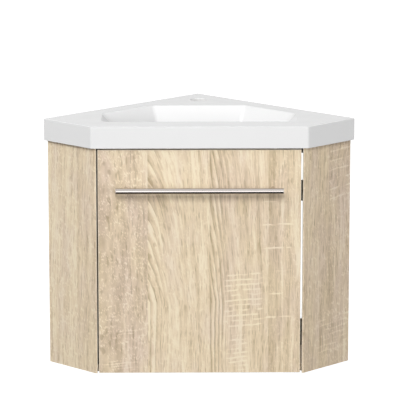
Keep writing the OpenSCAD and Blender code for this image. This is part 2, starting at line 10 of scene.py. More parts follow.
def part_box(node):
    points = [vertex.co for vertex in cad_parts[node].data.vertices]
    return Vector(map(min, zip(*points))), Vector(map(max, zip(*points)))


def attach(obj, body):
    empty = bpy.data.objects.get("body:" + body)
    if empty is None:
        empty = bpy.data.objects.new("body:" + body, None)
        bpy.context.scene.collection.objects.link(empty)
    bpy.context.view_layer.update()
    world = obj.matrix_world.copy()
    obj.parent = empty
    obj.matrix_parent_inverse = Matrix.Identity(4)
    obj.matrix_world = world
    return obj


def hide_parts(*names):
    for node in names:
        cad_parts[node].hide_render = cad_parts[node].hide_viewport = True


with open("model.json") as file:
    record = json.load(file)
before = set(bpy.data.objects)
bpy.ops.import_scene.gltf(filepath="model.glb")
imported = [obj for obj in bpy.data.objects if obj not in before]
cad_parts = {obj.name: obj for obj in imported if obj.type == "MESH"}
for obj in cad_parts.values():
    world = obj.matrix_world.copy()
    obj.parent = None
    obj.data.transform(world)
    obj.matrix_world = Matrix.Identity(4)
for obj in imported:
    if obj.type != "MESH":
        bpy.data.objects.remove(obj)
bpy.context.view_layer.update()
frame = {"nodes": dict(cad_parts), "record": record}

bl_info = {
    "name": "Corner Vanity Unit",
    "version": (1, 0, 0),
    "blender": (4, 5, 0),
    "location": "3D View > Sidebar > Vanity",
    "description": "Models and finishes a corner basin on its cupboard",
    "category": "Add Mesh",
}

SLOTS = {part["node"]: part["material_slot"] for part in frame["record"]["subparts"]}
BODIES = {node: body for body, nodes in frame["record"]["behaviour"]["bodies"].items()
          for node in nodes}
DIAGONAL = math.sqrt(0.5)  # the walls and the side panels stand at 45 degrees


# ---- Sizes and colours ----

def linear(code):
    """An sRGB hex colour as linear red, green, blue and alpha."""
    parts = [int(code[i:i + 2], 16) / 255 for i in (1, 3, 5)]
    return tuple(p / 12.92 if p <= 0.04045 else ((p + 0.055) / 1.055) ** 2.4 for p in parts) + (1.0,)


def length(name, description, default):
    """A length in metres that a user can change."""
    return bpy.props.FloatProperty(name=name, description=description, default=default,
                                   min=0.0, unit="LENGTH", precision=4)


def colour(name, description, code):
    """A colour that a user can change."""
    return bpy.props.FloatVectorProperty(name=name, description=description, default=linear(code),
                                         size=4, min=0.0, max=1.0, subtype="COLOR")


class VanityBasinSizes(bpy.types.PropertyGroup):
    """Sizes of the cast basin"""
    wall_side: length("Wall side", "Length of the basin along each wall", 0.485)
    short_side: length("Short side", "Length of the sides that stand square to the walls", 0.152)
    deck: length("Deck", "Thickness of the deck around the bowl", 0.014)
    skirt: length("Skirt", "Thickness of the skirt that stands on the boards", 0.026)
    upright_round: length("Upright corners", "Radius of the upright corners", 0.003)
    edge_round: length("Top edge", "Radius along the top edge", 0.0014)
    bowl_width: length("Bowl width", "Width of the bowl's mouth", 0.430)
    bowl_length: length("Bowl length", "Length of the bowl's mouth, front to back", 0.217)
    bowl_front: length("Front deck", "Width of the deck in front of the bowl", 0.066)
    bowl_margin: length("Side deck", "Width of the deck beside the bowl's slanting sides", 0.0455)
    bowl_depth: length("Bowl depth", "Depth of the bowl", 0.110)
    bowl_wall: length("Bowl wall", "Thickness of the bowl's wall", 0.012)
    bowl_draft: bpy.props.FloatProperty(
        name="Bowl slope", description="Slope of the bowl's walls from upright",
        default=math.radians(28), unit="ROTATION")
    bowl_end_ease: bpy.props.FloatProperty(
        name="End slope",
        description="How many times farther than the other walls the bowl's ends slope in",
        default=1.7, min=1.0)
    front_corner: length("Front corners", "Radius of the bowl's two front corners", 0.015)
    side_corner: length("Side corners", "Radius where the bowl's ends meet its slanting walls", 0.025)
    rear_corner: length("Rear corners", "Radius of the bowl's two rear corners", 0.012)
    floor_round: length("Floor corner", "Radius between the bowl's walls and its floor", 0.025)
    rim_round: length("Rim", "Radius of the bowl's rim", 0.0025)
    foot_round: length("Skirt's foot", "Radius along the skirt's outer lower edge", 0.0006)
    tap_hole: length("Tap hole", "Diameter of the tap hole", 0.035)
    tap_inset: length("Tap place", "Distance from the rear corner to the tap hole", 0.088)
    waste_hole: length("Waste hole", "Diameter of the waste hole", 0.046)
    waste_round: length("Waste rim", "Radius of the waste hole's rim", 0.0015)


class VanityFinish(bpy.types.PropertyGroup):
    """Colours and edges of the unit"""
    gel_coat: colour("Gel coat", "Colour of the cast basin", "#f2f2f2")
    gel_coat_thin: colour("Gel coat, thin", "Colour of the basin where its coat is thin", "#f0f0f0")
    oak_pale: colour("Oak, palest", "Tone of the oak print's flecks and saw marks", "#faebce")
    oak_light: colour("Oak, light", "Light tone of the oak print", "#efdbbc")
    oak_mid: colour("Oak, middle", "Middle tone of the oak print", "#dac6a6")
    oak_dark: colour("Oak, dark", "Dark tone of the oak print", "#beaa89")
    oak_blush: colour("Oak blush", "Tint of the pinkish staves", "#f4f1ff")
    brown_light: colour("Brown board, light", "Light tone of the rails and the stop strip", "#695442")
    brown_dark: colour("Brown board, dark", "Dark tone of the rails and the stop strip", "#4e3e31")
    band_light: colour("Edge band, light", "Light tone of the boards' edge bands", "#f3ebdb")
    band_dark: colour("Edge band, dark", "Dark tone of the boards' edge bands", "#e4d9c4")
    steel: colour("Handle steel", "Colour of the brushed handle", "#d2ccc8")
    steel_dark: colour("Handle steel, dark", "Colour of the handle's brush lines", "#b6b0ab")
    nickel: colour("Black nickel", "Colour of the hinges' black nickel plate", "#55514a")
    nickel_dark: colour("Black nickel, dull", "Colour of the black nickel plate where it is dull", "#423f39")
    zinc: colour("Zinc", "Colour of the brackets' and screws' zinc plate", "#b0b1b4")
    zinc_blue: colour("Zinc, blue", "Bluish clouds of the zinc plate", "#9ba2ad")
    zinc_straw: colour("Zinc, straw", "Straw clouds of the zinc plate", "#bbb7a6")
    beech_light: colour("Beech, light", "Light tone of the dowels", "#dab88a")
    beech_dark: colour("Beech, dark", "Dark tone of the dowels", "#b98f5f")
    rubber: colour("Rubber", "Colour of the door bumpers", "#2a2a2a")
    rubber_dusty: colour("Rubber, dusty", "Colour of the bumpers' high spots", "#3c3b3a")
    board_edge: length("Board edges", "Radius along the boards' edges", 0.0004)
    metal_edge: length("Metal edges", "Radius along the edges of pressed and turned metal", 0.0003)
    bar_end: length("Bar ends", "Radius along the ends of the handle's bar", 0.0009)
    bumper_edge: length("Bumper edges", "Radius along the edges of the door bumpers", 0.0015)
    cross_recess: length("Cross recess", "Width of the cross recess in the screws' heads", 0.0044)


# ---- Materials ----

def add(material, kind, links=None, stops=None, blend="LINEAR", **settings):
    """Adds a node. links holds numbers, colours or other nodes' sockets by input, and stops fills
    a ramp."""
    node = material.node_tree.nodes.new(kind)
    for name, value in settings.items():
        setattr(node, name, value)
    if stops:
        node.color_ramp.interpolation = blend
        while len(node.color_ramp.elements) < len(stops):
            node.color_ramp.elements.new(0.5)
        for element, (place, shade) in zip(node.color_ramp.elements, stops):
            element.position = place
            element.color = shade if isinstance(shade, tuple) else (shade, shade, shade, 1)
    for place, value in (links or {}).items():
        if isinstance(value, bpy.types.NodeSocket):
            material.node_tree.links.new(value, node.inputs[place])
        else:
            node.inputs[place].default_value = value
    return node


def blank(name):
    """A new material with no nodes."""
    material = bpy.data.materials.new(name)
    material.use_nodes = True
    material.node_tree.nodes.clear()
    return material


def begin(name):
    """The unit's colours, a new material and the place of each point on its surface."""
    material = blank(name)
    place = add(material, "ShaderNodeTexCoord").outputs["Object"]
    return bpy.context.scene.vanity_finish, material, place


def stretched(material, vector, scale, detail):
    """Noise drawn out along its axes, by the number of its waves in a metre."""
    spread = add(material, "ShaderNodeMapping", {"Vector": vector, "Scale": scale}).outputs[0]
    return add(material, "ShaderNodeTexNoise",
               {"Vector": spread, "Scale": 1.0, "Detail": detail}).outputs[0]


def surface(material, base, rough, bump, **more):
    """Ends a material in a Principled shader. rough and bump are nodes, and base is a socket."""
    shader = add(material, "ShaderNodeBsdfPrincipled",
                 {"Base Color": base, "Roughness": rough.outputs[0], "Normal": bump.outputs[0], **more})
    add(material, "ShaderNodeOutputMaterial", {"Surface": shader.outputs[0]})
    return material


def cast_marble():
    """Cast mineral marble under a sprayed gel coat: hard, white and glossy. The eye sees clean
    reflections that waver a little, from the gel coat's faint orange peel."""
    look, material, place = begin("cast_marble_gel_coat")
    # Clouds about 60 mm wide, where the coat lies a little thicker
    cloud = add(material, "ShaderNodeTexNoise", {"Vector": place, "Scale": 16.0, "Detail": 2.0})
    coat = add(material, "ShaderNodeMix", {0: cloud.outputs[0], 6: look.gel_coat_thin, 7: look.gel_coat},
               data_type="RGBA")
    # Orange peel has waves of about 4 mm
    peel = add(material, "ShaderNodeTexNoise", {"Vector": place, "Scale": 250.0, "Detail": 1.0})
    wave = add(material, "ShaderNodeMath", {0: peel.outputs[0], 1: 0.15, 2: cloud.outputs[0]},
               operation="MULTIPLY_ADD")
    bump = add(material, "ShaderNodeBump", {"Height": wave.outputs[0], "Strength": 0.03, "Distance": 0.001})
    gloss = add(material, "ShaderNodeMapRange", {0: cloud.outputs[0], 1: 0.3, 2: 0.7, 3: 0.17, 4: 0.24})
    return surface(material, coat.outputs[2], gloss, bump, IOR=1.5)


def window(material, value, low, high, soft):
    """1 between two places and 0 outside them, with soft edges."""
    rise = add(material, "ShaderNodeMapRange", {0: value, 1: low - soft, 2: low + soft},
               interpolation_type="SMOOTHSTEP")
    fall = add(material, "ShaderNodeMapRange", {0: value, 1: high - soft, 2: high + soft},
               interpolation_type="SMOOTHSTEP")
    return add(material, "ShaderNodeMath", {0: rise.outputs[0], 1: fall.outputs[0]},
               operation="SUBTRACT").outputs[0]


class Stave(typing.NamedTuple):
    """One stave of the oak print. Lengths are in metres, from the board's left edge."""
    start: float    # its left edge
    heart: float    # the middle of its rings
    depth: float    # how far behind the face that middle lies: small gives pointed arches
    lean: float     # how far the rings spread sideways for each length downwards
    tone: float     # 0 dark, 1 light
    blush: float    # 0 yellow, 1 pink
    fleck: float    # how strongly the light ray flecks show
    seam: float     # how dark the stripe along its left edge is
    stripe: float   # width of that stripe


class SawMarks(typing.NamedTuple):
    """A patch of light marks that the saw left across the grain. Lengths are in metres."""
    left: float
    right: float
    low: float
    high: float
    spacing: float
    strength: float


DOOR_STAVES = (
    Stave(0.000, 0.000, 0.120, 0.06, 0.56, 0.42, 0.75, 0.00, 0.01),
    Stave(0.107, 0.104, 0.028, 0.20, 0.76, 0.06, 0.25, 0.22, 0.008),
    Stave(0.241, 0.240, 0.010, 0.11, 0.72, 0.18, 0.20, 0.34, 0.016),
    Stave(0.370, 0.300, 0.030, 0.03, 0.64, 0.15, 0.30, 0.36, 0.024),
)
DOOR_SAW_MARKS = (
    SawMarks(0.278, 0.357, 0.104, 0.228, 0.0114, 0.66),
    SawMarks(0.284, 0.322, 0.010, 0.085, 0.0100, 0.70),
    SawMarks(0.359, 0.420, 0.100, 0.385, 0.0520, 0.75),
    SawMarks(0.040, 0.100, 0.085, 0.097, 0.0060, 0.60),
    SawMarks(0.010, 0.085, 0.012, 0.026, 0.0060, 0.60),
)
LEFT_STAVES = (
    Stave(0.000, 0.230, 0.040, 0.10, 0.80, 0.12, 0.55, 0.00, 0.01),
    Stave(0.098, 0.230, 0.040, 0.06, 0.72, 0.20, 0.40, 0.10, 0.02),
)
RIGHT_STAVES = (
    Stave(0.000, 0.150, 0.060, 0.05, 0.62, 0.25, 0.40, 0.00, 0.01),
    Stave(0.080, 0.210, 0.050, 0.05, 0.64, 0.45, 0.60, 0.15, 0.02),
)
RIGHT_SAW_MARKS = (
    SawMarks(0.085, 0.160, 0.370, 0.490, 0.0210, 0.50),
    SawMarks(0.050, 0.150, 0.030, 0.120, 0.0120, 0.25),
)
BOARD_SPAN = 0.5     # widest board that a stave's values can be looked up on
ARCH_FOOT = 0.16     # height above the board's foot where the arches start to close
RING_STEP = 0.008    # from one line of late wood to the next
STAVE_STEP = 90      # how fast the pattern changes from stave to stave
FLECK_LEAN = 0.35    # in radians, to the left
SAW_RISE = -0.07     # saw marks rise a little to the right
SAW_CUT = 0.0016     # half the width of a saw mark, at most 0.2 of its spacing
PATCH_EDGE = 0.008   # how far a patch of saw marks fades on either side of its edge


def oak_decor(name, turn, left, staves, saw_marks):
    """Sonoma oak print under a satin resin film on particle board. The eye sees staves with arched
    rings, pale fibres, short ray flecks, dark pores and light marks from the saw."""
    look, material, place = begin(name)
    board = add(material, "ShaderNodeMapping", {"Vector": place, "Rotation": (0, 0, turn),
                                                "Location": (-left, 0, 0)}).outputs[0]
    axes = add(material, "ShaderNodeSeparateXYZ", {0: board}).outputs
    sideways, up = axes["X"], axes["Z"]
    # The grain wanders by a few millimetres over 50 mm across and 200 mm along
    drift = stretched(material, board, (20, 20, 5), 2.0)
    across = add(material, "ShaderNodeMath", {0: drift, 1: 0.016, 2: sideways},
                 operation="MULTIPLY_ADD").outputs[0]

    # Each stave's own values, looked up by its place on the board
    find = add(material, "ShaderNodeMath", {0: sideways, 1: 1 / BOARD_SPAN}, operation="MULTIPLY")
    values = []
    for names in (("heart", "depth", "lean"), ("tone", "blush", "fleck"), ("start", "seam", "stripe")):
        stops = [(s.start / BOARD_SPAN, (*(getattr(s, n) for n in names), 1)) for s in staves]
        ramp = add(material, "ShaderNodeValToRGB", {0: find.outputs[0]}, stops, "CONSTANT")
        values += add(material, "ShaderNodeSeparateColor", {0: ramp.outputs[0]}).outputs
    heart, depth, lean, base_tone, blush, fleck, start, seam, stripe = values

    # Rings are cones round the heart of the tree, so a flat board shows them as arches. Farther
    # from the heart and lower down they run straight.
    off_heart = add(material, "ShaderNodeMath", {0: across, 1: heart}, operation="SUBTRACT").outputs[0]
    from_heart = add(material, "ShaderNodeCombineXYZ", {0: off_heart, 1: depth}).outputs[0]
    radius = add(material, "ShaderNodeVectorMath", {0: from_heart},
                 operation="LENGTH").outputs["Value"]
    above = add(material, "ShaderNodeMapRange",
                {0: up, 1: ARCH_FOOT, 2: 1.0, 3: 0.0, 4: 1.0 - ARCH_FOOT}).outputs[0]
    straight = add(material, "ShaderNodeMapRange",
                   {0: radius, 1: 0.02, 2: 0.10, 3: 1.0, 4: 0.35}).outputs[0]
    climb = add(material, "ShaderNodeMath", {0: above, 1: straight}, operation="MULTIPLY").outputs[0]
    ring = add(material, "ShaderNodeMath", {0: climb, 1: lean, 2: radius},
               operation="MULTIPLY_ADD").outputs[0]
    side_shift = add(material, "ShaderNodeMath", {0: across, 1: 0.3, 2: base_tone},
                     operation="MULTIPLY_ADD").outputs[0]
    grain = add(material, "ShaderNodeCombineXYZ", {0: ring, 1: side_shift, 2: up}).outputs[0]

    # A darker stripe along each stave's left edge
    past = add(material, "ShaderNodeMath", {0: sideways, 1: start}, operation="SUBTRACT").outputs[0]
    shadow = add(material, "ShaderNodeMapRange", {0: past, 1: 0.0, 2: stripe, 3: seam, 4: 0.0},
                 interpolation_type="SMOOTHSTEP").outputs[0]
    tone = add(material, "ShaderNodeMath", {0: base_tone, 1: shadow}, operation="SUBTRACT").outputs[0]

    # Fibres in bundles: width and length in metres, detail and strength. Real fibres are finer
    # than the picture shows, so the thinnest bundle is drawn 2 mm wide. Noise is 0.5 on average,
    # so half of the strengths comes off first and the stave keeps its tone.
    bundles = ((0.015, 0.30, 1.0, 0.85), (0.0046, 0.11, 2.0, 0.9), (0.0021, 0.026, 1.0, 0.65))
    half = sum(strength for *_, strength in bundles) / 2
    tone = add(material, "ShaderNodeMath", {0: tone, 1: half}, operation="SUBTRACT").outputs[0]
    for width, reach, detail, strength in bundles:
        fibre = stretched(material, grain, (1 / width, STAVE_STEP, 1 / reach), detail)
        tone = add(material, "ShaderNodeMath", {0: fibre, 1: strength, 2: tone},
                   operation="MULTIPLY_ADD").outputs[0]

    # Late wood: a thin dark line for each ring near the heart, fading towards the next one
    count = add(material, "ShaderNodeMath", {0: ring, 1: 1 / RING_STEP}, operation="MULTIPLY").outputs[0]
    part = add(material, "ShaderNodeMath", {0: count}, operation="FRACT").outputs[0]
    late = add(material, "ShaderNodeMapRange", {0: part, 1: 0.0, 2: 0.7, 3: 0.55, 4: -0.15}).outputs[0]
    near = add(material, "ShaderNodeMapRange",
               {0: radius, 1: 0.034, 2: 0.060, 3: 1.0, 4: 0.0}).outputs[0]
    arch = add(material, "ShaderNodeMath", {0: late, 1: near}, operation="MULTIPLY").outputs[0]
    tone = add(material, "ShaderNodeMath", {0: tone, 1: arch}, operation="SUBTRACT").outputs[0]

    # Flecks and saw marks break up into patches 25 mm wide and 9 mm high
    patch = stretched(material, board, (40, 40, 110), 1.0)
    worn = add(material, "ShaderNodeMapRange", {0: patch, 1: 0.38, 2: 0.58}).outputs[0]

    # Dark pores 2 mm wide and 20 mm long, and light leaning ray flecks 2 mm wide and 6 mm long
    leaning = add(material, "ShaderNodeMapping",
                  {"Vector": board, "Rotation": (0, FLECK_LEAN, 0)}).outputs[0]
    flecked = add(material, "ShaderNodeMath", {0: worn, 1: fleck}, operation="MULTIPLY").outputs[0]
    for vector, width, reach, least, strength, amount in (
            (grain, 0.002, 0.020, 0.61, -0.34, 1.0), (leaning, 0.0022, 0.006, 0.55, 0.62, flecked)):
        spot = stretched(material, vector, (1 / width, STAVE_STEP, 1 / reach), 0.0)
        dash = add(material, "ShaderNodeMapRange",
                   {0: spot, 1: least, 2: least + 0.12, 3: 0.0, 4: strength})
        tone = add(material, "ShaderNodeMath", {0: dash.outputs[0], 1: amount, 2: tone},
                   operation="MULTIPLY_ADD").outputs[0]

    slope = add(material, "ShaderNodeMath", {0: across, 1: SAW_RISE, 2: up},
                operation="MULTIPLY_ADD").outputs[0]
    saw_height = add(material, "ShaderNodeMath", {0: drift, 1: 0.010, 2: slope},
                     operation="MULTIPLY_ADD").outputs[0]
    for marks in saw_marks:
        count = add(material, "ShaderNodeMath", {0: saw_height, 1: 1 / marks.spacing},
                    operation="MULTIPLY").outputs[0]
        turn_back = add(material, "ShaderNodeMath", {0: count, 1: 0.5}, operation="PINGPONG").outputs[0]
        thin = min(0.2, SAW_CUT / marks.spacing)
        line = add(material, "ShaderNodeMapRange", {0: turn_back, 1: thin * 0.5, 2: thin * 1.5,
                                                    3: marks.strength, 4: 0.0}).outputs[0]
        for axis, low, high in ((sideways, marks.left, marks.right), (up, marks.low, marks.high)):
            inside = window(material, axis, low, high, PATCH_EDGE)
            line = add(material, "ShaderNodeMath", {0: line, 1: inside}, operation="MULTIPLY").outputs[0]
        tone = add(material, "ShaderNodeMath", {0: line, 1: worn, 2: tone},
                   operation="MULTIPLY_ADD").outputs[0]

    print_tone = add(material, "ShaderNodeValToRGB", {0: tone},
                     stops=[(0.0, look.oak_dark[:]), (0.4, look.oak_mid[:]), (0.75, look.oak_light[:]),
                            (1.0, look.oak_pale[:])])
    # Pinkish and yellowish clouds about 40 mm wide and 110 mm high
    hue = stretched(material, board, (26, 26, 9), 2.0)
    shift = add(material, "ShaderNodeMapRange", {0: hue, 1: 0.35, 2: 0.65, 3: -0.3, 4: 0.3})
    tint = add(material, "ShaderNodeMath", {0: shift.outputs[0], 1: blush}, operation="ADD",
               use_clamp=True)
    tinted = add(material, "ShaderNodeMix", {0: tint.outputs[0], 6: print_tone.outputs[0],
                                             7: look.oak_blush}, data_type="RGBA", blend_type="MULTIPLY")
    # The film's pores follow the print, 0.1 mm deep
    bump = add(material, "ShaderNodeBump", {"Height": tone, "Strength": 0.25, "Distance": 0.0001})
    satin = add(material, "ShaderNodeMapRange", {0: tone, 3: 0.58, 4: 0.46})
    return surface(material, tinted.outputs[2], satin, bump, IOR=1.5)


def raw_board():
    """Particle board in a brown melamine film: the eye sees a dull brown with short darker fibres."""
    look, material, place = begin("brown_melamine_board")
    # Fibres 3 mm wide and 60 mm long
    fibre = stretched(material, place, (330, 330, 16), 3.0)
    tone = add(material, "ShaderNodeValToRGB", {0: fibre},
               stops=[(0.35, look.brown_dark[:]), (0.65, look.brown_light[:])])
    bump = add(material, "ShaderNodeBump", {"Height": fibre, "Strength": 0.3, "Distance": 0.0002})
    dull = add(material, "ShaderNodeMapRange", {0: fibre, 3: 0.65, 4: 0.5})
    return surface(material, tone.outputs[0], dull, bump, IOR=1.5)


def edge_band():
    """Extruded ABS edge band with a pale oak print: smoother and lighter than the boards."""
    look, material, place = begin("abs_edge_band")
    # Streaks 2 mm wide and 90 mm long
    streak = stretched(material, place, (480, 480, 11), 2.0)
    tone = add(material, "ShaderNodeValToRGB", {0: streak},
               stops=[(0.3, look.band_dark[:]), (0.7, look.band_light[:])])
    bump = add(material, "ShaderNodeBump", {"Height": streak, "Strength": 0.15, "Distance": 0.0001})
    satin = add(material, "ShaderNodeMapRange", {0: streak, 3: 0.48, 4: 0.36})
    return surface(material, tone.outputs[0], satin, bump, IOR=1.5)


def beech():
    """Turned beech: pinkish tan with the short dark dashes that beech shows on every face."""
    look, material, place = begin("turned_beech")
    grain = add(material, "ShaderNodeTexNoise", {"Vector": place, "Scale": 420.0, "Detail": 2.0})
    # Dashes 0.8 mm wide
    dash = add(material, "ShaderNodeTexVoronoi", {"Vector": place, "Scale": 1250.0})
    mark = add(material, "ShaderNodeMapRange", {0: dash.outputs["Distance"], 1: 0.1, 2: 0.3}).outputs[0]
    body = add(material, "ShaderNodeValToRGB", {0: grain.outputs[0]},
               stops=[(0.3, look.beech_dark[:]), (0.7, look.beech_light[:])])
    tone = add(material, "ShaderNodeMix", {0: mark, 6: look.beech_dark, 7: body.outputs[0]},
               data_type="RGBA")
    bump = add(material, "ShaderNodeBump", {"Height": mark, "Strength": 0.2, "Distance": 0.0001})
    dull = add(material, "ShaderNodeMapRange", {0: grain.outputs[0], 3: 0.7, 4: 0.55})
    return surface(material, tone.outputs[2], dull, bump)


def brushed_steel():
    """Stainless steel brushed along its length: fine lines that draw the highlight out."""
    look, material, place = begin("brushed_stainless_steel")
    # Brush lines 0.6 mm apart and 40 mm long; real ones are finer and would not show
    line = stretched(material, place, (25, 1600, 1600), 2.0)
    tone = add(material, "ShaderNodeMix", {0: line, 6: look.steel_dark, 7: look.steel},
               data_type="RGBA")
    bump = add(material, "ShaderNodeBump", {"Height": line, "Strength": 0.08, "Distance": 0.00005})
    gloss = add(material, "ShaderNodeMapRange", {0: line, 1: 0.3, 2: 0.7, 3: 0.11, 4: 0.17})
    return surface(material, tone.outputs[2], gloss, bump, Metallic=1.0)


def zinc_plate(name, cloud_size, worn):
    """Pressed or turned steel, zinc plated: a cool grey with faint blue and straw clouds."""
    look, material, place = begin(name)
    cloud = add(material, "ShaderNodeTexNoise", {"Vector": place, "Scale": 1 / cloud_size, "Detail": 3.0})
    tone = add(material, "ShaderNodeValToRGB", {0: cloud.outputs[0]},
               stops=[(0.35, look.zinc_blue[:]), (0.5, look.zinc[:]), (0.65, look.zinc_straw[:])])
    # Plating grain of about 0.4 mm
    grit = add(material, "ShaderNodeTexNoise", {"Vector": place, "Scale": 2500.0, "Detail": 1.0})
    bump = add(material, "ShaderNodeBump", {"Height": grit.outputs[0], "Strength": 0.12, "Distance": 0.00005})
    gloss = add(material, "ShaderNodeMapRange", {0: cloud.outputs[0], 1: 0.3, 2: 0.7, 3: worn - 0.06,
                                                 4: worn + 0.08})
    return surface(material, tone.outputs[0], gloss, bump, Metallic=1.0)


def nickel_plate():
    """Pressed steel, black nickel plated and tumbled: a warm near-black, paler on rubbed places."""
    look, material, place = begin("black_nickel_plated_steel")
    # Tumbling leaves soft clouds of about 5 mm
    cloud = add(material, "ShaderNodeTexNoise", {"Vector": place, "Scale": 200.0, "Detail": 3.0})
    tone = add(material, "ShaderNodeMix", {0: cloud.outputs[0], 6: look.nickel_dark, 7: look.nickel},
               data_type="RGBA")
    bump = add(material, "ShaderNodeBump", {"Height": cloud.outputs[0], "Strength": 0.1, "Distance": 0.0001})
    gloss = add(material, "ShaderNodeMapRange", {0: cloud.outputs[0], 1: 0.3, 2: 0.7, 3: 0.2, 4: 0.34})
    return surface(material, tone.outputs[2], gloss, bump, Metallic=1.0)


def cast_zinc():
    """Die-cast zinc, left as cast: a dull grey with fine granules."""
    look, material, place = begin("die_cast_zinc")
    # Granules of about 0.7 mm
    grit = add(material, "ShaderNodeTexVoronoi", {"Vector": place, "Scale": 1400.0})
    tone = add(material, "ShaderNodeMix", {0: grit.outputs["Distance"], 6: look.zinc_blue, 7: look.zinc},
               data_type="RGBA")
    bump = add(material, "ShaderNodeBump", {"Height": grit.outputs["Distance"], "Strength": 0.25,
                                            "Distance": 0.0001})
    dull = add(material, "ShaderNodeMapRange", {0: grit.outputs["Distance"], 3: 0.4, 4: 0.55})
    return surface(material, tone.outputs[2], dull, bump, Metallic=1.0)


def moulded_rubber():
    """Moulded rubber: dark, matt and finely spark-eroded, with paler dust on the high spots."""
    look, material, place = begin("moulded_rubber")
    # Texture of about 0.5 mm
    grit = add(material, "ShaderNodeTexNoise", {"Vector": place, "Scale": 2000.0, "Detail": 2.0})
    tone = add(material, "ShaderNodeValToRGB", {0: grit.outputs[0]},
               stops=[(0.4, look.rubber[:]), (0.75, look.rubber_dusty[:])])
    bump = add(material, "ShaderNodeBump", {"Height": grit.outputs[0], "Strength": 0.4, "Distance": 0.0001})
    dull = add(material, "ShaderNodeMapRange", {0: grit.outputs[0], 3: 0.85, 4: 0.65})
    return surface(material, tone.outputs[0], dull, bump, IOR=1.52)


MATERIALS = {}


def make_materials():
    """Makes each finish once. Each oak print starts at the left edge of its own board."""
    quarter = math.pi / 4
    door_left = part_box("door_panel")[0].x
    low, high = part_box("side_panel_left")
    left_edge = (low.x - high.y) * DIAGONAL
    low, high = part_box("side_panel_right")
    right_edge = (low.x + low.y) * DIAGONAL
    MATERIALS.update({
        "cast_marble": cast_marble(),
        "oak_decor": oak_decor("oak_decor_front", 0.0, door_left, DOOR_STAVES, DOOR_SAW_MARKS),
        "oak_left": oak_decor("oak_decor_left", quarter, left_edge, LEFT_STAVES, ()),
        "oak_right": oak_decor("oak_decor_right", -quarter, right_edge, RIGHT_STAVES, RIGHT_SAW_MARKS),
        "raw_board": raw_board(),
        "edge_band": edge_band(),
        "beech": beech(),
        "handle_steel": brushed_steel(),
        "bracket_steel": zinc_plate("zinc_plated_pressing", 0.012, 0.34),
        "hinge_nickel": nickel_plate(),
        "cam_zinc": cast_zinc(),
        "screws": zinc_plate("zinc_plated_screws", 0.003, 0.28),
        "bumper": moulded_rubber(),
    })


# ---- Modelling ----

SAME = 1e-5                        # places closer than this are the same
WELD = 0.000005                    # corners of loose triangles closer than this are one
FLAT_TURN = math.radians(0.6)      # triangles that turn less than this make one flat face
EDGE_TURN = math.radians(40)       # faces that turn more than this meet in an edge to round
SMOOTH_TURN = math.radians(35)     # and those that turn less than this are shaded smooth
EASY_CORNER = 0.414                # a bevel's width for its radius where a corner turns by 45 degrees
BAND_EDGE = 0.8                    # an edge band's radius for that of a board


def alone(piece):
    """Selects one piece and nothing else."""
    bpy.ops.object.select_all(action="DESELECT")
    piece.select_set(True)
    bpy.context.view_layer.objects.active = piece


def primitive(kind, name, **settings):
    """Adds a cube, cylinder or plane, names it and puts its place into its mesh."""
    bpy.ops.object.select_all(action="DESELECT")
    getattr(bpy.ops.mesh, f"primitive_{kind}_add")(**settings)
    piece = bpy.context.active_object
    piece.name = name
    bpy.ops.object.transform_apply(location=True, rotation=True, scale=True)
    return piece


def edit(piece):
    """Enters edit mode on one piece."""
    alone(piece)
    bpy.ops.object.mode_set(mode="EDIT")


def done():
    """Leaves edit mode."""
    bpy.ops.object.mode_set(mode="OBJECT")


def pick(piece, kind, test):
    """In edit mode, selects the edges or faces that pass the test, and nothing else. Raises an
    error if none does."""
    mesh = bmesh.from_edit_mesh(piece.data)
    bpy.ops.mesh.select_mode(type=kind)
    bpy.ops.mesh.select_all(action="DESELECT")
    items = mesh.edges if kind == "EDGE" else mesh.faces
    for item in items:
        if test(item):
            item.select_set(True)
    mesh.select_flush_mode()
    bmesh.update_edit_mesh(piece.data)
    if not any(item.select for item in items):
        raise RuntimeError(f"No {kind.lower()} to pick on {piece.name}")


def cut_away(point, outward):
    """In edit mode, cuts off what lies beyond a plane and closes the cut."""
    bpy.ops.mesh.select_all(action="SELECT")
    bpy.ops.mesh.bisect(plane_co=point, plane_no=outward, use_fill=True, clear_outer=True)


def change(piece, kind, **settings):
    """Adds a modifier and applies it."""
    alone(piece)
    modifier = piece.modifiers.new(kind.title(), kind)
    for name, value in settings.items():
        setattr(modifier, name, value)
    bpy.ops.object.modifier_apply(modifier=modifier.name)


def join_with(piece, other, operation):
    """Unites the piece with another mesh, or takes the other away from it."""
    change(piece, "BOOLEAN", object=other, operation=operation, solver="EXACT")
    bpy.data.objects.remove(other)


def shade(piece):
    """Smooth shading that keeps sharp edges sharp and large faces flat."""
    alone(piece)
    bpy.ops.object.shade_smooth_by_angle(angle=SMOOTH_TURN)
    change(piece, "WEIGHTED_NORMAL", keep_sharp=True, weight=80)


def finish_piece(piece, node, finish=None):
    """Gives a piece its finish and its body, and hides the CAD node that it stands for."""
    slot = SLOTS[node]
    piece.data.materials.clear()
    piece.data.materials.append(MATERIALS[finish or slot])
    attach(piece, BODIES[node])
    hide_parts(node)


def copy_of(node):
    """A copy of a CAD node with its loose triangles merged and its flat faces made whole."""
    source = frame["nodes"][node]
    piece = bpy.data.objects.new(node + "_piece", source.data.copy())
    bpy.context.scene.collection.objects.link(piece)
    edit(piece)
    bpy.ops.mesh.select_all(action="SELECT")
    bpy.ops.mesh.remove_doubles(threshold=WELD)
    bpy.ops.mesh.dissolve_limited(angle_limit=FLAT_TURN)
    done()
    return piece


